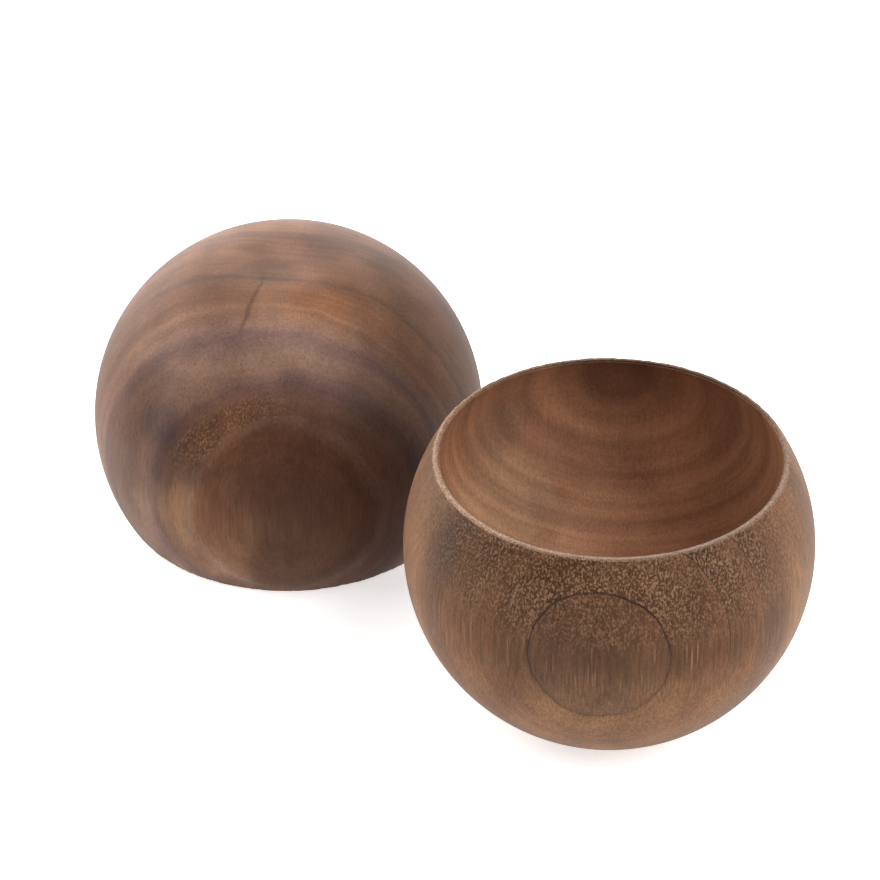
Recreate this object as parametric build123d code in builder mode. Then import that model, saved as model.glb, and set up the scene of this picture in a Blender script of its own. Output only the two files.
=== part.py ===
"""A pair of turned walnut go bowls: one stands upright, its twin is turned over on its mouth.

Both bowls are the same turning, a ball with a wide mouth and a small flat foot, each from one
piece of wood. Millimetres, +Z up. The origin is the centre of the upright bowl's foot.
"""

from build123d import *
import os

# Outside of a bowl
outer_diameter = 110.0
rim_above_centre = 28.5        # height of the rim above the ball's widest line
foot_radius = 12.0             # flat disc that the bowl stands on
foot_blend_radius = 35.0       # the arc that runs from the flat foot smoothly into the ball

# Wall of a bowl
rim_thickness = 1.9            # width of the flat rim
floor_thickness = 6.0          # wood under the middle of the hollow
rim_edge_radius = 0.35         # the rim's two edges are just broken with sandpaper

# Where the turned-over bowl sits beside the upright one
twin_offset_x = -88.0
twin_offset_y = 95.5

# The blend arc touches the foot plane at the foot's edge and touches the ball from inside,
# so its centre, the ball's centre and the point where they touch lie on one line.
outer_radius = outer_diameter / 2
centre_distance = outer_radius - foot_blend_radius
ball_centre_height = foot_blend_radius + (centre_distance**2 - foot_radius**2) ** 0.5
blend_reach = outer_radius / centre_distance
blend_end = (
    foot_radius * blend_reach,
    ball_centre_height - (ball_centre_height - foot_blend_radius) * blend_reach,
)

bowl_height = ball_centre_height + rim_above_centre
rim_outer_radius = (outer_radius**2 - rim_above_centre**2) ** 0.5
rim_inner_radius = rim_outer_radius - rim_thickness

# The hollow is a ball too. It passes through the rim's inner edge and the top of the floor,
# and its centre lies a little above the outer ball's, so the wall thickens from rim to floor.
hollow_depth = bowl_height - floor_thickness
hollow_radius = (rim_inner_radius**2 + hollow_depth**2) / (2 * hollow_depth)
hollow_centre_height = floor_thickness + hollow_radius

# Points of the section. The outer arc passes through the ball's widest point, the inner arc
# through the hollow's.
foot_edge = (foot_radius, 0)
belly = (outer_radius, ball_centre_height)
rim_outer = (rim_outer_radius, bowl_height)
rim_inner = (rim_inner_radius, bowl_height)
hollow_belly = (hollow_radius, hollow_centre_height)
floor_middle = (0, floor_thickness)


def draw_bowl_section():
    """Outline of half a bowl's section: foot at height 0, mouth upwards, axis on the sketch's Y."""
    Line((0, 0), foot_edge)
    TangentArc(foot_edge, blend_end, tangent=(1, 0))
    ThreePointArc(blend_end, belly, rim_outer)
    Line(rim_outer, rim_inner)
    ThreePointArc(rim_inner, hollow_belly, floor_middle)
    Line(floor_middle, (0, 0))


def break_rim_edges(bowl):
    """Round the outer and the inner edge of the rim a little."""
    circles = bowl.edges().filter_by(GeomType.CIRCLE)
    outer_edge = circles.filter_by(lambda edge: abs(edge.radius - rim_outer_radius) < 0.01)
    inner_edge = circles.filter_by(lambda edge: abs(edge.radius - rim_inner_radius) < 0.01)
    fillet(outer_edge + inner_edge, radius=rim_edge_radius)


# Upright bowl: foot on the table, mouth up
with BuildPart() as upright_bowl:
    with BuildSketch(Plane.XZ):
        with BuildLine():
            draw_bowl_section()
        make_face()
    revolve(axis=Axis.Z)
    break_rim_edges(upright_bowl)

# Turned-over bowl: the same section upside down, so that the rim lies on the table
turned_over_plane = Plane(
    origin=(twin_offset_x, twin_offset_y, bowl_height),
    x_dir=(1, 0, 0),
    z_dir=(0, 1, 0),
)
turned_over_axis = Axis((twin_offset_x, twin_offset_y, 0), (0, 0, 1))

with BuildPart() as turned_over_bowl:
    with BuildSketch(turned_over_plane):
        with BuildLine():
            draw_bowl_section()
        make_face()
    revolve(axis=turned_over_axis)
    break_rim_edges(turned_over_bowl)

upright_bowl.part.label = "upright_bowl"
turned_over_bowl.part.label = "turned_over_bowl"

os.makedirs("parts", exist_ok=True)
export_step(upright_bowl.part, "parts/upright_bowl.step")
export_step(turned_over_bowl.part, "parts/turned_over_bowl.step")
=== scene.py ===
import math

import bpy
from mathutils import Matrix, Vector, noise


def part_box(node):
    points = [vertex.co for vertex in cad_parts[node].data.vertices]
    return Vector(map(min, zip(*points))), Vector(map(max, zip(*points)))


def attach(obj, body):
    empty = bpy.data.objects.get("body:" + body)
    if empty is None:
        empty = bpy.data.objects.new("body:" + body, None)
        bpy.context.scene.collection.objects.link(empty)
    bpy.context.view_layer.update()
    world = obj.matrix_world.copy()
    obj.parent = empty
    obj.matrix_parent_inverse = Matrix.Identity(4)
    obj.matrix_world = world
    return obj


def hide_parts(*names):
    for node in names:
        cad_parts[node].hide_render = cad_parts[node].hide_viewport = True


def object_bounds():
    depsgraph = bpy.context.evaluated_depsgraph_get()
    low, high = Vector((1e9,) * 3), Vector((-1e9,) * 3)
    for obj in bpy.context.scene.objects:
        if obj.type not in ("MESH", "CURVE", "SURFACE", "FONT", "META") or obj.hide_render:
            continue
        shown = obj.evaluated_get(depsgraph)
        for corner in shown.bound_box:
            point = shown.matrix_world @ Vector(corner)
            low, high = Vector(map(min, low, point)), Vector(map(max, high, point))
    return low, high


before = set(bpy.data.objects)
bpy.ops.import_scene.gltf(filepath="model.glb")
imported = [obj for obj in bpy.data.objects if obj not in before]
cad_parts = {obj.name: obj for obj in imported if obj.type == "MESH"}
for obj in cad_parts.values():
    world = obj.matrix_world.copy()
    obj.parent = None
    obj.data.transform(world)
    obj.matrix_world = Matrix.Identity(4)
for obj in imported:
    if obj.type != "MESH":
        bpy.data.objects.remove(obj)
cad_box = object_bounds()

# ---------------------------------------------------------------- sizes, in metres

# Each bowl is as wide and as high as its CAD box. Only the section's own sizes are given here.
upright_low, upright_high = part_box("upright_bowl")
twin_low, twin_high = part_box("turned_over_bowl")
BALL_RADIUS = (upright_high.x - upright_low.x) / 2
BOWL_HEIGHT = upright_high.z - upright_low.z
RIM_ABOVE_CENTRE = 0.0285
BALL_CENTRE_HEIGHT = BOWL_HEIGHT - RIM_ABOVE_CENTRE
FOOT_RADIUS = 0.012
FOOT_BLEND_RADIUS = 0.035
RIM_THICKNESS = 0.0019
FLOOR_THICKNESS = 0.006
RIM_EDGE_RADIUS = 0.00035
RIM_RAGGEDNESS = 0.00012     # how far the sanded rim's edges are worn back
WEAR_WAVES = 420             # waves per metre of that wear
FINE_WEAR_WAVES = 1400
FINE_WEAR_SHARE = 0.7
WEAR_BIAS = 0.35             # how much wear there is where the waves are zero

# Steps round the axis, then along each part of the profile from the foot to the hollow
SEGMENTS = 540
FOOT_STEPS = 6
BLEND_STEPS = 20
BALL_STEPS = 64
RIM_EDGE_STEPS = 7
LIP_STEPS = 4
HOLLOW_STEPS = 72
LIP_ANGLE = 0.012            # the hollow's first angle inside the rim, where the steps are close together


def axis_point(low, high):
    """The point on the table under a bowl's axis."""
    return Vector(((low.x + high.x) / 2, (low.y + high.y) / 2, low.z))


# ---------------------------------------------------------------- a bowl's shape

def arc(centre, radius, start, end, steps):
    """Points (r, z) on an arc about centre, angles in radians from +r towards +z."""
    points = []
    for i in range(steps + 1):
        angle = start + (end - start) * i / steps
        points.append((centre[0] + radius * math.cos(angle), centre[1] + radius * math.sin(angle)))
    return points


def direction(start, end):
    """The angle at which end is seen from start."""
    return math.atan2(end[1] - start[1], end[0] - start[0])


def bowl_profile():
    """Half section from the middle of the foot, over the rim, to the middle of the hollow.

    Heights are measured from the ball's centre, up towards the mouth.
    """
    ball = (0, 0)
    foot_z = -BALL_CENTRE_HEIGHT
    rim_z = RIM_ABOVE_CENTRE
    rim_inner = math.sqrt(BALL_RADIUS**2 - rim_z**2) - RIM_THICKNESS
    hollow_depth = BOWL_HEIGHT - FLOOR_THICKNESS
    hollow_radius = (rim_inner**2 + hollow_depth**2) / (2 * hollow_depth)
    hollow = (0, rim_z - hollow_depth + hollow_radius)

    # Centres of the three small arcs: foot blend, outer rim edge, inner rim edge
    blend = (FOOT_RADIUS, foot_z + FOOT_BLEND_RADIUS)
    edge_z = rim_z - RIM_EDGE_RADIUS
    outer_edge = (math.sqrt((BALL_RADIUS - RIM_EDGE_RADIUS) ** 2 - edge_z**2), edge_z)
    inner_edge_r = math.sqrt((hollow_radius + RIM_EDGE_RADIUS) ** 2 - (edge_z - hollow[1]) ** 2)
    inner_edge = (inner_edge_r, edge_z)

    down = -math.pi / 2
    up = math.pi / 2
    blend_end = direction(ball, blend)
    ball_end = direction(ball, outer_edge)
    lip_start = direction(hollow, inner_edge)
    lip_end = lip_start - LIP_ANGLE

    points = [(FOOT_RADIUS * i / FOOT_STEPS, foot_z) for i in range(FOOT_STEPS)]
    points += arc(blend, FOOT_BLEND_RADIUS, down, blend_end, BLEND_STEPS)
    points += arc(ball, BALL_RADIUS, blend_end, ball_end, BALL_STEPS)[1:]
    points += arc(outer_edge, RIM_EDGE_RADIUS, ball_end, up, RIM_EDGE_STEPS)[1:]
    points += arc(inner_edge, RIM_EDGE_RADIUS, up, direction(inner_edge, hollow), RIM_EDGE_STEPS)
    points += arc(hollow, hollow_radius, lip_start, lip_end, LIP_STEPS)[1:]
    points += arc(hollow, hollow_radius, lip_end, down, HOLLOW_STEPS)[1:-1]
    points.append((0, foot_z + FLOOR_THICKNESS))
    return points


def worn(point, seed):
    """Draws a point near the rim's edges a little back into the wood, unevenly."""
    r = math.hypot(point.x, point.y)
    rim_z = RIM_ABOVE_CENTRE
    if point.z < rim_z - 2 * RIM_EDGE_RADIUS:
        return point
    wear = noise.noise(Vector((point.x, point.y, seed)) * FINE_WEAR_WAVES) * FINE_WEAR_SHARE
    wear += noise.noise(Vector((point.x, point.y, seed)) * WEAR_WAVES)
    depth = RIM_RAGGEDNESS * max(0.0, WEAR_BIAS + wear)
    middle = math.sqrt(BALL_RADIUS**2 - rim_z**2) - RIM_THICKNESS / 2
    away = (middle - r) / (RIM_THICKNESS / 2)
    spread = 1 + away * depth / r
    return Vector((point.x * spread, point.y * spread, point.z - abs(away) * depth))


def turn(name, profile, seed):
    """Revolves a profile about the object's own z axis. The object's origin is the ball's centre."""
    vertices = []
    rings = []
    for r, z in profile:
        if r < 1e-9:
            rings.append([len(vertices)])
            vertices.append(Vector((0, 0, z)))
            continue
        rings.append(list(range(len(vertices), len(vertices) + SEGMENTS)))
        for i in range(SEGMENTS):
            angle = 2 * math.pi * i / SEGMENTS
            vertices.append(worn(Vector((r * math.cos(angle), r * math.sin(angle), z)), seed))
    faces = []
    for lower, upper in zip(rings, rings[1:]):
        for i in range(SEGMENTS):
            j = (i + 1) % SEGMENTS
            if len(lower) == 1:
                faces.append((lower[0], upper[j], upper[i]))
            elif len(upper) == 1:
                faces.append((lower[i], lower[j], upper[0]))
            else:
                faces.append((lower[i], lower[j], upper[j], upper[i]))
    mesh = bpy.data.meshes.new(name)
    mesh.from_pydata(vertices, [], faces)
    mesh.update()
    mesh.shade_smooth()
    bowl = bpy.data.objects.new(name, mesh)
    bpy.context.scene.collection.objects.link(bowl)
    return bowl


# ---------------------------------------------------------------- shader graph helper

class Graph:
    """Builds one material's nodes. Any value given to a call may be a number or another node's output."""

    def __init__(self, name):
        self.material = bpy.data.materials.new(name)
        self.material.use_nodes = True
        self.nodes = self.material.node_tree.nodes
        self.shader = self.nodes["Principled BSDF"]

    def give(self, socket, value):
        if isinstance(value, bpy.types.NodeSocket):
            self.material.node_tree.links.new(value, socket)
        else:
            socket.default_value = value

    def math(self, operation, *values):
        node = self.nodes.new("ShaderNodeMath")
        node.operation = operation
        for socket, value in zip(node.inputs, values):
            self.give(socket, value)
        return node.outputs[0]

    def add(self, first, *others):
        total = first
        for other in others:
            total = self.math("ADD", total, other)
        return total

    def multiply(self, first, *others):
        product = first
        for other in others:
            product = self.math("MULTIPLY", product, other)
        return product

    def stretch(self, vector, factors):
        node = self.nodes.new("ShaderNodeVectorMath")
        node.operation = "MULTIPLY"
        self.give(node.inputs[0], vector)
        node.inputs[1].default_value = factors
        return node.outputs[0]

    def shift(self, vector, offset):
        node = self.nodes.new("ShaderNodeVectorMath")
        node.operation = "ADD"
        self.give(node.inputs[0], vector)
        node.inputs[1].default_value = offset
        return node.outputs[0]

    def split(self, vector):
        node = self.nodes.new("ShaderNodeSeparateXYZ")
        self.give(node.inputs[0], vector)
        return node.outputs[0], node.outputs[1], node.outputs[2]

    def join(self, *parts):
        node = self.nodes.new("ShaderNodeCombineXYZ")
        for socket, part in zip(node.inputs, parts):
            self.give(socket, part)
        return node.outputs[0]

    def length(self, vector):
        node = self.nodes.new("ShaderNodeVectorMath")
        node.operation = "LENGTH"
        self.give(node.inputs[0], vector)
        return node.outputs["Value"]

    def distance(self, vector, point):
        """How far a vector is from a fixed point."""
        return self.length(self.shift(vector, tuple(-part for part in point)))

    def noise(self, vector, scale, detail=2.0, roughness=0.5):
        node = self.nodes.new("ShaderNodeTexNoise")
        self.give(node.inputs["Vector"], vector)
        node.inputs["Scale"].default_value = scale
        node.inputs["Detail"].default_value = detail
        node.inputs["Roughness"].default_value = roughness
        return node.outputs["Fac"]

    def long_noise(self, vector, squeeze, scale, detail=2.0, roughness=0.5):
        """Noise drawn out along z, the fibres' direction. Squeeze is its width over its length."""
        return self.noise(self.stretch(vector, (1, 1, squeeze)), scale, detail, roughness)

    def cells(self, vector, scale):
        """Distance from the nearest of many scattered points, 0 at the point, about 0.5 between them."""
        node = self.nodes.new("ShaderNodeTexVoronoi")
        self.give(node.inputs["Vector"], vector)
        node.inputs["Scale"].default_value = scale
        return node.outputs["Distance"]

    def step(self, value, low, high, start=0.0, end=1.0):
        """Goes smoothly from start to end while value goes from low to high."""
        node = self.nodes.new("ShaderNodeMapRange")
        node.interpolation_type = "SMOOTHSTEP"
        for socket, given in zip(node.inputs, (value, low, high, start, end)):
            self.give(socket, given)
        return node.outputs[0]

    def vary(self, value, amount, low=0.3, high=0.7):
        """A brightness factor from 1 - amount to 1 + amount that follows a noise."""
        return self.step(value, low, high, 1 - amount, 1 + amount)

    def ramp(self, value, stops):
        """Colour ramp whose stops are (value, (r, g, b)), with values from -1 to 1."""
        node = self.nodes.new("ShaderNodeValToRGB")
        self.give(node.inputs[0], self.math("MULTIPLY_ADD", value, 0.5, 0.5))
        elements = node.color_ramp.elements
        while len(elements) < len(stops):
            elements.new(1.0)
        for element, (place, colour) in zip(elements, stops):
            element.position = (place + 1) / 2
            element.color = (*colour, 1)
        return node.outputs[0]

    def mix(self, factor, first, second, blend="MIX"):
        node = self.nodes.new("ShaderNodeMix")
        node.data_type = "RGBA"
        node.blend_type = blend
        self.give(node.inputs["Factor"], factor)
        for name, value in (("A", first), ("B", second)):
            socket = [s for s in node.inputs if s.name == name and s.type == "RGBA"][0]
            self.give(socket, value if isinstance(value, bpy.types.NodeSocket) else (*value, 1))
        return [s for s in node.outputs if s.type == "RGBA"][0]

    def shade(self, colour, factor):
        """Multiplies a colour by a grey factor."""
        node = self.nodes.new("ShaderNodeVectorMath")
        node.operation = "SCALE"
        self.give(node.inputs[0], colour)
        self.give(node.inputs["Scale"], factor)
        return node.outputs[0]


# ---------------------------------------------------------------- walnut

# All of the wood is worked out in ball radii about the ball's centre: x to the right, y to the
# back and z up, as the bowl stands. The fibres run along z and the growth rings are nearly planes
# across y, so a ring coordinate that is y plus small bends finds the colour.

UPRIGHT_WOOD = {
    "upside_down": False,
    "seed": (0.0, 0.0, 0.0),
    "slope": 0.075,                  # how far the rings turn away from straight across
    "tilt": -0.03,                   # and from upright
    "side_bend": 0.03,               # how much the rings curve over x
    "lean": (-0.3, 0.7, 0.0, 0.38),  # y where the rings start and stop leaning, lean over x and over z
    "wobble": 0.011,
    "blur": 0.0,
    "rings": [
        (-1.00, (0.134, 0.059, 0.028)),
        (-0.94, (0.118, 0.051, 0.024)),
        (-0.93, (0.168, 0.072, 0.030)),
        (-0.80, (0.140, 0.057, 0.024)),
        (-0.77, (0.168, 0.072, 0.030)),
        (-0.66, (0.157, 0.068, 0.030)),
        (-0.60, (0.140, 0.065, 0.033)),
        (-0.50, (0.146, 0.068, 0.034)),
        (-0.42, (0.207, 0.098, 0.044)),
        (-0.15, (0.190, 0.089, 0.040)),
        (0.00, (0.146, 0.065, 0.030)),
        (0.12, (0.185, 0.084, 0.038)),
        (0.35, (0.168, 0.073, 0.033)),
        (0.53, (0.196, 0.084, 0.036)),
        (0.62, (0.143, 0.061, 0.028)),
        (0.69, (0.185, 0.081, 0.035)),
        (0.84, (0.146, 0.062, 0.030)),
        (0.92, (0.168, 0.073, 0.033)),
        (0.985, (0.151, 0.064, 0.029)),
        (1.00, (0.101, 0.041, 0.019)),
    ],
    # painted light: the bowl is painted lighter low down, where light from the table falls on it
    "painted_light_and_shade": (("z", -0.9, -0.1, 1.05, 0.96),),     # axis, from, to, and the factors there
    # Patches of wood tone, together with painted light and reflection: greyer and lighter low on the
    # front and the right, where the white table is reflected
    "patches": (                     # middle, radius, and what red, green and blue are multiplied by
        ((-0.72, -0.45, 0.30), 0.20, (0.78, 0.82, 0.95)),
        ((0.00, -0.80, -0.55), 0.80, (1.02, 1.14, 1.20)),
        ((0.85, -0.35, -0.20), 0.55, (1.00, 1.06, 1.12)),
        ((0.00, -0.97, 0.16), 0.28, (0.82, 0.78, 0.73)),
    ),
    # Patches of wood tone in the hollow, together with painted light: its floor and the far right wall
    # are painted lighter
    "hollow_tone_and_light_patches": (
        ((-0.55, 0.65, -0.28), 0.45, (1.04, 1.20, 1.28)),
        ((0.00, 0.72, -0.55), 0.40, (1.32, 1.36, 1.42)),
        ((0.37, 0.83, -0.02), 0.25, (1.25, 1.25, 1.20)),
        ((-0.52, 0.75, 0.18), 0.22, (0.80, 0.88, 0.94)),
    ),
    "crack": None,
    "scratch": (-0.57, 0.33, 0.22, 0.37),   # x where z is 0, change of x over z, its two ends in z
    "first_line": -0.940,
    "line_spacing": 0.157,
    "line_width": 0.0027,
    "line_strength": 1.0,
    "line_low_strength": 0.35,       # what is left of it low on the bowl
    "gloss": 0.13,
    "contrast": (0.20, 0.27, 0.07, 0.17),   # of slow patches, fibres, stripes along the rings, dust
    "fleck_height": (-0.34, 0.02),   # flecks fade in between these heights
    "fleck_sides": (0.55, 1.0),      # and fade out between these distances from the middle
    "fleck_reach": None,             # or a middle and a radius
    "fleck_rings": (-2.0, -1.5, 1.5, 2.0),   # where on the ring coordinate they fade in and out
    "fleck_strength": 0.80,
    "fleck_colour": (0.265, 0.145, 0.082),
}

TWIN_WOOD = {
    "upside_down": True,
    "seed": (3.7, 1.9, 5.1),
    "slope": 0.0,
    "tilt": 0.0,
    "side_bend": 0.0,
    "lean": (-0.70, -0.50, 0.15, 0.0),
    "wobble": 0.045,
    "blur": 0.035,
    "rings": [
        (-1.00, (0.076, 0.029, 0.014)),
        (-0.895, (0.078, 0.030, 0.015)),
        (-0.868, (0.120, 0.058, 0.039)),
        (-0.840, (0.106, 0.045, 0.026)),
        (-0.79, (0.098, 0.045, 0.028)),
        (-0.75, (0.090, 0.044, 0.033)),
        (-0.72, (0.102, 0.053, 0.043)),
        (-0.68, (0.156, 0.084, 0.057)),
        (-0.61, (0.176, 0.099, 0.068)),
        (-0.575, (0.148, 0.083, 0.065)),
        (-0.53, (0.153, 0.086, 0.070)),
        (-0.49, (0.206, 0.114, 0.078)),
        (-0.43, (0.192, 0.099, 0.062)),
        (-0.39, (0.220, 0.112, 0.067)),
        (-0.33, (0.186, 0.088, 0.048)),
        (-0.26, (0.184, 0.086, 0.047)),
        (-0.20, (0.152, 0.073, 0.041)),
        (-0.175, (0.118, 0.059, 0.037)),
        (-0.14, (0.156, 0.075, 0.041)),
        (0.10, (0.178, 0.083, 0.047)),
        (0.24, (0.142, 0.070, 0.043)),
        (0.30, (0.180, 0.083, 0.044)),
        (0.55, (0.154, 0.068, 0.037)),
        (0.62, (0.100, 0.047, 0.031)),
        (0.70, (0.180, 0.080, 0.038)),
        (1.00, (0.132, 0.056, 0.029)),
    ],
    # painted light and shade: darker to the right, where the upright bowl shades this one, darker on the
    # very top, and lighter low down, where light from the table falls on it
    "painted_light_and_shade": (
        ("x", -0.9, -0.2, 0.92, 1.05),
        ("x", -0.1, 0.8, 1.0, 0.52),
        ("z", 0.2, 0.8, 0.78, 1.0),
        ("z", 0.8, 1.0, 1.0, 0.80),
        ("z", -0.42, 0.08, 1.4, 1.0),
    ),
    # Patches of wood tone, together with painted light and shade: much lighter and greyer low on the
    # front, where the table's light falls, and darker on the right, where the upright bowl shades this
    # one
    "patches": (
        ((0.08, -0.96, 0.22), 0.30, (0.80, 0.79, 0.82)),
        ((0.00, -0.58, 0.78), 0.40, (1.10, 1.12, 1.14)),
        ((0.05, -0.70, 0.70), 0.22, (1.28, 1.32, 1.32)),
        ((-0.38, -0.80, 0.42), 0.20, (1.40, 1.32, 1.15)),
        ((-0.22, -0.80, 0.55), 0.14, (1.25, 1.20, 1.10)),
        ((-0.45, -0.85, -0.15), 0.45, (1.72, 1.84, 1.82)),
        ((0.20, -0.27, 0.94), 0.26, (1.16, 1.04, 0.88)),
        ((-0.62, -0.66, 0.38), 0.16, (0.66, 0.70, 0.85)),
        ((-0.78, -0.48, 0.38), 0.28, (0.95, 0.84, 0.75)),
        ((0.00, -0.80, -0.45), 0.60, (1.10, 1.32, 1.42)),
        ((-0.55, -0.82, -0.05), 0.25, (1.22, 1.30, 1.12)),
        ((0.55, -0.55, 0.62), 0.35, (0.88, 0.82, 0.80)),
        ((0.55, -0.80, -0.10), 0.45, (1.00, 0.87, 0.76)),
    ),
    "hollow_tone_and_light_patches": (),
    "crack": (-0.065, 0.289, -0.56, -0.10),  # x where y is 0, change of x over y, its two ends in y
    "scratch": None,
    "first_line": -0.865,
    "line_spacing": 0.17,
    "line_width": 0.003,
    "line_strength": 0.15,
    "line_low_strength": 1.0,
    "gloss": 0.12,
    "contrast": (0.25, 0.14, 0.10, 0.10),
    "fleck_height": (0.0, 0.4),
    "fleck_sides": (0.8, 1.4),
    "fleck_reach": ((-0.38, -0.83, 0.36), 0.62),
    "fleck_rings": (-0.89, -0.85, -0.79, -0.755),
    "fleck_strength": 0.45,
    "fleck_colour": (0.27, 0.140, 0.068),
}

LINE_COLOUR = (0.026, 0.012, 0.008)
RIM_COLOUR = (0.33, 0.195, 0.122)
HOLLOW_TINT_AND_LIGHT = (1.72, 1.94, 2.40)     # painted light: the hollow is painted lighter than the outside, for the light that falls into it from above, on its paler sanded wood

# Metres from one to the next
PORE_SPACING = 0.00090
FINE_DOT_SPACING = 0.62 * PORE_SPACING
DOT_SPACING = 0.85 * PORE_SPACING
DARK_PORE_SPACING = 0.0013

FLECK_SHADE = 0.80                   # how much darker the wood between the flecks is
PORE_SHADE = 0.35                    # how much darker a dark pore is on the outside
HOLLOW_PORE_SHADE = 0.2              # and in the hollow
SCRATCH_STRENGTH = 0.36
CRACK_STRENGTH = 0.42
MINERAL_STRENGTH = 0.5
OIL_ROUGHNESS = 0.5
RELIEF_STRENGTH = 0.5
RELIEF_DEPTH = 0.00012               # metres

# Towards the mouth, in ball radii: where the outside turns into the rim
RIM_BEGINS = 0.5145
RIM_ENDS = 0.5185


def wood_place(graph, wood):
    """Object coordinates in ball radii, turned back to how the bowl stands."""
    sign = -1 if wood["upside_down"] else 1
    coordinates = graph.nodes.new("ShaderNodeTexCoord").outputs["Object"]
    return graph.stretch(coordinates, (1 / BALL_RADIUS, sign / BALL_RADIUS, sign / BALL_RADIUS))


def ring_coordinate(graph, place, grain, wood):
    """Where a point lies among the growth rings: its y, with the rings' slope, lean and wobble."""
    x, y, z = graph.split(place)
    lean_from, lean_to, lean_x, lean_z = wood["lean"]
    lean = graph.multiply(graph.step(y, lean_from, lean_to),
                          graph.add(graph.multiply(x, lean_x), graph.multiply(z, lean_z)))
    bend = graph.multiply(x, graph.math("MULTIPLY_ADD", x, wood["side_bend"], wood["slope"]))
    slow = graph.long_noise(grain, 0.35, 2.6)
    quick = graph.long_noise(grain, 0.3, 14, 3)
    rough = graph.long_noise(grain, 0.25, 45, 3, 0.7)
    wobble = graph.add(graph.multiply(graph.math("SUBTRACT", slow, 0.5), wood["wobble"] * 2),
                       graph.multiply(graph.math("SUBTRACT", quick, 0.5), 0.012),
                       graph.multiply(graph.math("SUBTRACT", rough, 0.5), wood["blur"]))
    return graph.add(y, bend, graph.multiply(z, wood["tilt"]), lean, wobble)


def ring_count(graph, ring, wood):
    """How many rings lie between here and the first line, with a part of a ring as a fraction."""
    return graph.math("DIVIDE", graph.math("SUBTRACT", ring, wood["first_line"]), wood["line_spacing"])


def ring_lines(graph, place, ring, grain, wood):
    """1 on the thin dark line that ends each ring, else 0. The lines further in are fainter."""
    x, _, z = graph.split(place)
    count = ring_count(graph, ring, wood)
    distance = graph.multiply(graph.math("PINGPONG", count, 0.5), wood["line_spacing"])
    width = wood["line_width"]
    line = graph.step(distance, width * 0.35, width, 1.0, 0.0)
    patchy = graph.step(graph.noise(grain, 3.1), 0.36, 0.56, 0.72, 1.0)
    low = graph.step(z, -0.40, 0.25, wood["line_low_strength"], 1.0)
    second = graph.step(x, -0.3, 0.3, 0.2, 0.75)
    further_in = graph.multiply(graph.step(count, 0.4, 0.9, 1.0, second),
                                graph.step(count, 1.4, 1.9, 1.0, 0.4))
    return graph.multiply(line, patchy, low, further_in, wood["line_strength"])


def ring_stripes(graph, place, ring):
    """Noise in thin uneven stripes that run along the rings."""
    x, _, z = graph.split(place)
    drawn_out = graph.join(graph.multiply(x, 1.2), graph.multiply(ring, 34), graph.multiply(z, 0.7))
    return graph.noise(drawn_out, 1, 3, 0.6)


def pore_dots(graph, grain, drift):
    """Filled pores where the surface cuts across the fibres: crumbs and dots of uneven size."""
    place = graph.stretch(grain, (1, 1, 0.6))
    crumbs = graph.noise(place, BALL_RADIUS / FINE_DOT_SPACING, 2, 0.6)
    crumbs = graph.step(graph.add(crumbs, graph.multiply(drift, 0.15)), 0.53, 0.75)
    distance = graph.cells(place, BALL_RADIUS / DOT_SPACING)
    dots = graph.math("SUBTRACT", distance, graph.multiply(drift, 0.35))
    dots = graph.step(dots, -0.08, 0.17, 1.0, 0.0)
    return graph.math("MAXIMUM", graph.multiply(dots, 0.9), crumbs)


def pore_streaks(graph, grain, drift):
    """Filled pores where the surface runs along the fibres."""
    distance = graph.cells(graph.stretch(grain, (1, 1, 0.04)), BALL_RADIUS / PORE_SPACING)
    streaks = graph.math("SUBTRACT", distance, graph.multiply(drift, 0.5))
    return graph.multiply(graph.step(streaks, -0.12, 0.08, 1.0, 0.0), 1.05)


def fleck_zone(graph, place, ring, wood):
    """1 where the flecks are full, 0 where there are none."""
    x, _, z = graph.split(place)
    sides = graph.step(graph.math("ABSOLUTE", x), *wood["fleck_sides"], 1.0, 0.3)
    upper = graph.step(z, 0.0, 0.4, 0.60, 1.0)
    early = graph.step(graph.math("FRACT", ring_count(graph, ring, wood)), 0.3, 1.0, 1.0, 0.65)
    first, full, last, end = wood["fleck_rings"]
    chosen = graph.multiply(graph.step(ring, first, full), graph.step(ring, last, end, 1.0, 0.0))
    zone = graph.multiply(graph.step(z, *wood["fleck_height"]), sides, upper, early, chosen)
    if wood["fleck_reach"]:
        middle, radius = wood["fleck_reach"]
        away = graph.distance(place, middle)
        zone = graph.multiply(zone, graph.step(away, radius * 0.4, radius, 1.0, 0.0))
    return zone


def flecks(graph, place, grain, ring, wood):
    """Pale filled pores: dots where the surface faces up, streaks lower down.

    Gives the flecks and the zone that they cover, both from 0 to 1.
    """
    drift = graph.long_noise(grain, 0.25, 9, 3)
    facing_up = graph.step(graph.split(place)[2], 0.0, 0.2)
    facing_out = graph.math("SUBTRACT", 1.0, facing_up)
    pattern = graph.add(graph.multiply(facing_up, pore_dots(graph, grain, drift)),
                        graph.multiply(facing_out, pore_streaks(graph, grain, drift)))
    zone = fleck_zone(graph, place, ring, wood)
    return graph.multiply(pattern, zone), zone


def dark_pores(graph, grain):
    """1 in the short dark pores, which come in loose groups all over the bowl."""
    distance = graph.cells(graph.stretch(grain, (1, 1, 0.045)), BALL_RADIUS / DARK_PORE_SPACING)
    groups = graph.long_noise(grain, 0.4, 22, 2)
    return graph.multiply(graph.step(distance, 0.10, 0.20, 1.0, 0.0), graph.step(groups, 0.5, 0.62))


def patch(graph, place, grain, middle, radius, tint, colour):
    """Tints the wood round a point, with an uneven border. The tints give wood tone and painted light and
    shade.
    """
    border = graph.math("SUBTRACT", graph.long_noise(grain, 0.5, 7, 4), 0.5)
    away = graph.add(graph.distance(place, middle), graph.multiply(border, radius))
    near = graph.step(away, radius * 0.35, radius * 1.1, 1.0, 0.0)
    return graph.mix(near, colour, graph.mix(1.0, colour, tint, "MULTIPLY"))


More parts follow.
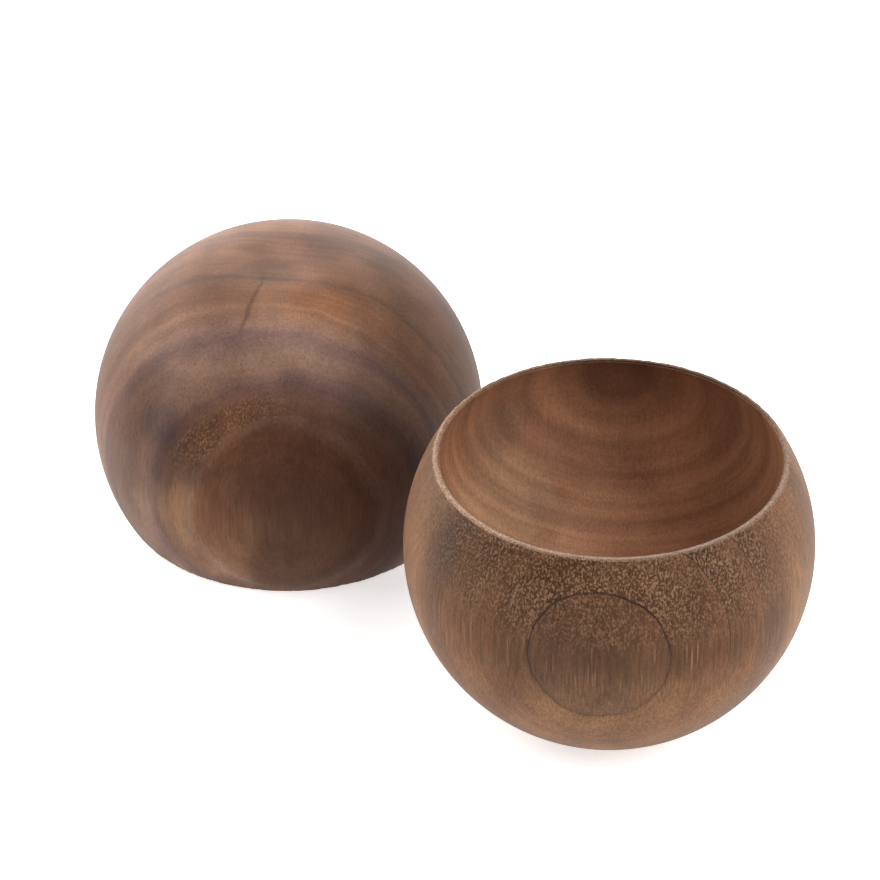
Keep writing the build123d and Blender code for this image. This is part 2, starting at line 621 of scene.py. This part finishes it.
def crack(graph, place, grain, wood):
    """A thin dark crack on the top of the bowl, with a dark patch of mineral at its far end."""
    x, y, z = graph.split(place)
    start, slope, near, far = wood["crack"]
    waver = graph.multiply(graph.math("SUBTRACT", graph.noise(grain, 12, 2), 0.5), 0.05)
    aside = graph.math("ABSOLUTE", graph.add(x, graph.multiply(y, -slope), waver, -start))
    thin = graph.step(aside, 0.002, 0.022, CRACK_STRENGTH, 0.0)
    along = graph.multiply(graph.step(y, near, near + 0.12),
                           graph.step(y, far - 0.02, far + 0.04, 1.0, 0.0))
    from_end = graph.distance(place, (start + slope * far, far, 1))
    mineral = graph.add(from_end, graph.multiply(waver, 2.0))
    mineral = graph.step(mineral, 0.02, 0.17, MINERAL_STRENGTH, 0.0)
    on_top = graph.step(z, 0.3, 0.5)
    return graph.multiply(graph.math("MAXIMUM", graph.multiply(thin, along), mineral), on_top)


def scratch(graph, place, wood):
    """A short pale scratch that leans across the front of the bowl."""
    x, y, z = graph.split(place)
    start, slope, low, high = wood["scratch"]
    aside = graph.math("ABSOLUTE", graph.add(x, graph.multiply(z, -slope), -start))
    thin = graph.step(aside, 0.002, 0.008, 1.0, 0.0)
    along = graph.multiply(graph.step(z, low, low + 0.04), graph.step(z, high - 0.04, high, 1.0, 0.0))
    front = graph.step(y, -0.6, -0.4, SCRATCH_STRENGTH, 0.0)
    return graph.multiply(thin, along, front)


def outside_wood(graph, place, grain, ring, noises, wood):
    """The colour of the outside before its flecks, with painted light and shade."""
    patches, fibres, stripes, pores = noises
    patchy, fibrous, striped, _ = wood["contrast"]
    colour = graph.ramp(ring, wood["rings"])
    colour = graph.shade(colour, graph.vary(patches, patchy, 0.25, 0.75))
    colour = graph.shade(colour, graph.vary(fibres, fibrous))
    colour = graph.shade(colour, graph.vary(stripes, striped))
    # patches of wood tone and of painted light and shade
    for middle, radius, tint in wood["patches"]:
        colour = patch(graph, place, grain, middle, radius, tint, colour)
    # painted light and shade that changes along the x, y or z axis
    for axis, low, high, start, end in wood["painted_light_and_shade"]:
        coordinate = graph.split(place)["xyz".index(axis)]
        colour = graph.shade(colour, graph.step(coordinate, low, high, start, end))
    return graph.shade(colour, graph.math("MULTIPLY_ADD", pores, -PORE_SHADE, 1.0))


def hollow_wood(graph, place, grain, ring, noises, wood):
    """The colour of the sanded hollow, where the rings show as soft arcs, painted lighter than the
    outside and with patches of wood tone and of painted light.
    """
    patches, fibres, stripes, pores = noises
    colour = graph.mix(1.0, graph.ramp(ring, wood["rings"]), HOLLOW_TINT_AND_LIGHT, "MULTIPLY")
    colour = graph.shade(colour, graph.vary(patches, 0.1, 0.25, 0.75))
    arcs = graph.math("FRACT", graph.multiply(ring_count(graph, ring, wood), 1.7))
    fading = graph.step(arcs, 0.2, 0.85, 1.07, 0.93)
    beginning = graph.step(arcs, 0.0, 0.25, 0.93, 1.0)
    colour = graph.shade(colour, graph.multiply(fading, beginning))
    colour = graph.shade(colour, graph.vary(stripes, 0.12))
    for middle, radius, tint in wood["hollow_tone_and_light_patches"]:
        colour = patch(graph, place, grain, middle, radius, tint, colour)
    colour = graph.shade(colour, graph.vary(fibres, 0.07))
    return graph.shade(colour, graph.math("MULTIPLY_ADD", pores, -HOLLOW_PORE_SHADE, 1.0))


def rim_wood_and_shade(graph, place, rim_grain):
    """The colour of the rim, pale with dark grain, with painted shade that makes it darker to the right,
    the front and the back.
    """
    x, y, _ = graph.split(place)
    colour = graph.shade(RIM_COLOUR, graph.step(rim_grain, 0.3, 0.7, 0.30, 1.50))
    # painted shade: the rim is darkened to the right, at the front and at the back
    colour = graph.shade(colour, graph.step(x, -0.5, 0.7, 1.0, 0.65))
    front = graph.step(y, -0.85, -0.35, 0.72, 1.0)
    back = graph.step(y, 0.0, 0.8, 1.0, 0.75)
    return graph.shade(colour, graph.multiply(front, back))


def surface_masks(graph, place, grain, mouthward):
    """1 on the rim, and 1 in the hollow. The rest is the outside."""
    ragged = graph.noise(grain, 75, 3, 0.7)
    rim = graph.step(graph.math("MULTIPLY_ADD", ragged, 0.012, mouthward), RIM_BEGINS, RIM_ENDS)
    border = graph.step(mouthward, -0.72, -0.5, 0.90, 0.985)
    past_border = graph.math("SUBTRACT", graph.length(place), border)
    return rim, graph.step(past_border, -0.004, 0.004, 1.0, 0.0)


def oil_finish(graph, gloss, fleck_mask, fibres, relief):
    """Matte oil, a little rougher on the flecks and fibres, over a fine relief."""
    roughness = graph.add(OIL_ROUGHNESS, graph.multiply(fleck_mask, 0.2), graph.multiply(fibres, 0.12))
    graph.give(graph.shader.inputs["Roughness"], roughness)
    graph.shader.inputs["Specular IOR Level"].default_value = gloss
    bump = graph.nodes.new("ShaderNodeBump")
    bump.inputs["Strength"].default_value = RELIEF_STRENGTH
    bump.inputs["Distance"].default_value = RELIEF_DEPTH
    graph.give(bump.inputs["Height"], relief)
    graph.give(graph.shader.inputs["Normal"], bump.outputs[0])


def walnut(name, wood):
    """One bowl's wood: the outside with its flecks and lines, the hollow and the rim."""
    graph = Graph(name)
    place = wood_place(graph, wood)
    grain = graph.shift(place, wood["seed"])
    _, y, z = graph.split(place)
    mouthward = graph.multiply(z, -1.0) if wood["upside_down"] else z
    ring = ring_coordinate(graph, place, grain, wood)

    rim, inside = surface_masks(graph, place, grain, mouthward)
    outside = graph.math("SUBTRACT", 1.0, inside)

    patches = graph.long_noise(grain, 0.4, 4.0, 3)
    fibres = graph.long_noise(grain, 0.035, 95, 3, 0.6)
    dust = graph.long_noise(grain, 0.45, 110, 3, 0.75)
    rim_grain = graph.long_noise(grain, 0.3, 130, 3, 0.7)
    noises = (patches, fibres, ring_stripes(graph, place, ring), dark_pores(graph, grain))

    # Pale flecks over darker wood on the outside
    colour = outside_wood(graph, place, grain, ring, noises, wood)
    pattern, zone = flecks(graph, place, grain, ring, wood)
    outside_zone = graph.multiply(zone, outside, wood["fleck_strength"])
    colour = graph.shade(colour, graph.math("MULTIPLY_ADD", outside_zone, -FLECK_SHADE, 1.0))
    fleck_mask = graph.multiply(pattern, outside, wood["fleck_strength"])
    colour = graph.mix(fleck_mask, colour, wood["fleck_colour"])
    if wood["scratch"]:
        colour = graph.mix(scratch(graph, place, wood), colour, RIM_COLOUR)

    # The hollow and the rim, with painted shade that darkens the edge along the back of the rim
    colour = graph.mix(inside, colour, hollow_wood(graph, place, grain, ring, noises, wood))
    far_edge_shade = graph.multiply(graph.step(mouthward, 0.495, 0.511), graph.step(y, 0.1, 0.75, 0.0, 0.5))
    colour = graph.shade(colour, graph.math("SUBTRACT", 1.0, far_edge_shade))
    colour = graph.mix(rim, colour, rim_wood_and_shade(graph, place, rim_grain))

    line = ring_lines(graph, place, ring, grain, wood)
    if wood["crack"]:
        line = graph.math("MAXIMUM", line, crack(graph, place, grain, wood))
    colour = graph.mix(graph.multiply(line, outside), colour, LINE_COLOUR)
    dusty = wood["contrast"][3]
    graph.give(graph.shader.inputs["Base Color"], graph.shade(colour, graph.vary(dust, dusty)))

    relief = graph.add(graph.multiply(fleck_mask, 0.6), graph.multiply(fibres, 0.25),
                       graph.multiply(line, -0.8), graph.multiply(rim, rim_grain, 1.5))
    oil_finish(graph, wood["gloss"], fleck_mask, fibres, relief)
    return graph.material


# ---------------------------------------------------------------- the two bowls

def make_upright_bowl():
    bowl = turn("upright_bowl_turned", bowl_profile(), 0.0)
    bowl.location = axis_point(upright_low, upright_high) + Vector((0, 0, BALL_CENTRE_HEIGHT))
    bowl.data.materials.append(walnut("walnut_upright", UPRIGHT_WOOD))
    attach(bowl, "upright_bowl")
    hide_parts("upright_bowl")


def make_turned_over_bowl():
    bowl = turn("turned_over_bowl_turned", bowl_profile(), 7.0)
    bowl.location = axis_point(twin_low, twin_high) + Vector((0, 0, RIM_ABOVE_CENTRE))
    bowl.rotation_euler = (math.pi, 0, 0)
    bowl.data.materials.append(walnut("walnut_turned_over", TWIN_WOOD))
    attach(bowl, "turned_over_bowl")
    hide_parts("turned_over_bowl")


# ---------------------------------------------------------------- floor, light and camera

FLOOR_HALF_WIDTH = 1.2
FLOOR_GLOW = 0.6                 # the white table is lit from below too, so its shadows are faint
WORLD_LIGHT = 0.12
LIGHT_DISTANCE = 1.6
LIGHT_WIDTH = 1.3

# Soft boxes: degrees round from the back towards the right, degrees up, and watts
SOFT_BOXES = (
    (315, 14, 29.0),
    (0, 14, 26.0),
    (128, 45, 28.0),
    (270, 38, 14.0),
    (45, 14, 9.0),
    (0, 45, 5.0),
)


# The camera looks along +y and down, at a point a few millimetres from the middle of the model
CAMERA_AIM = Vector((-0.00114, 0.00564, 0.00821))
CAMERA_PITCH = math.radians(34.484)
CAMERA_DISTANCE = 1.4968
SENSOR_WIDTH = 36                # sensor and lens in millimetres
LENS = 222.4


def make_floor():
    half = FLOOR_HALF_WIDTH
    corners = [(-half, -half, 0), (half, -half, 0), (half, half, 0), (-half, half, 0)]
    mesh = bpy.data.meshes.new("floor")
    mesh.from_pydata(corners, [], [(0, 1, 2, 3)])
    floor = bpy.data.objects.new("floor", mesh)
    bpy.context.scene.collection.objects.link(floor)
    graph = Graph("white_table")
    graph.shader.inputs["Base Color"].default_value = (0.92, 0.92, 0.92, 1)
    graph.shader.inputs["Roughness"].default_value = 0.9
    graph.shader.inputs["Emission Color"].default_value = (1, 1, 1, 1)
    graph.shader.inputs["Emission Strength"].default_value = FLOOR_GLOW
    floor.data.materials.append(graph.material)


def make_world():
    """White to look at, but only a weak fill light."""
    world = bpy.data.worlds.new("studio")
    bpy.context.scene.world = world
    world.use_nodes = True
    nodes = world.node_tree.nodes
    background = nodes["Background"]
    background.inputs["Color"].default_value = (1, 1, 1, 1)
    strength = nodes.new("ShaderNodeMapRange")
    strength.inputs["To Min"].default_value = WORLD_LIGHT
    strength.inputs["To Max"].default_value = 1.0
    seen = nodes.new("ShaderNodeLightPath").outputs["Is Camera Ray"]
    world.node_tree.links.new(seen, strength.inputs["Value"])
    world.node_tree.links.new(strength.outputs[0], background.inputs["Strength"])


def make_lights(middle):
    for number, (around, up, watts) in enumerate(SOFT_BOXES):
        light = bpy.data.lights.new("soft_box_%d" % number, "AREA")
        light.size = LIGHT_WIDTH
        light.energy = watts
        holder = bpy.data.objects.new("soft_box_%d" % number, light)
        turned = math.radians(around)
        raised = math.radians(up)
        level = math.cos(raised)
        towards = Vector((math.sin(turned) * level, math.cos(turned) * level, math.sin(raised)))
        holder.location = middle + towards * LIGHT_DISTANCE
        holder.rotation_euler = (-towards).to_track_quat("-Z", "Y").to_euler()
        bpy.context.scene.collection.objects.link(holder)


def make_camera(middle):
    back = CAMERA_DISTANCE * math.cos(CAMERA_PITCH)
    up = CAMERA_DISTANCE * math.sin(CAMERA_PITCH)
    camera_data = bpy.data.cameras.new("camera")
    camera_data.sensor_width = SENSOR_WIDTH
    camera_data.lens = LENS
    camera_data.clip_end = 50
    camera = bpy.data.objects.new("camera", camera_data)
    camera.location = middle + CAMERA_AIM + Vector((0, -back, up))
    camera.rotation_euler = (math.pi / 2 - CAMERA_PITCH, 0, 0)
    bpy.context.scene.collection.objects.link(camera)
    bpy.context.scene.camera = camera


box_low, box_high = [Vector(corner) for corner in cad_box]
box_middle = (box_low + box_high) / 2
make_upright_bowl()
make_turned_over_bowl()
make_floor()
make_world()
make_lights(box_middle)
make_camera(box_middle)
bpy.context.scene.view_settings.view_transform = "Standard"
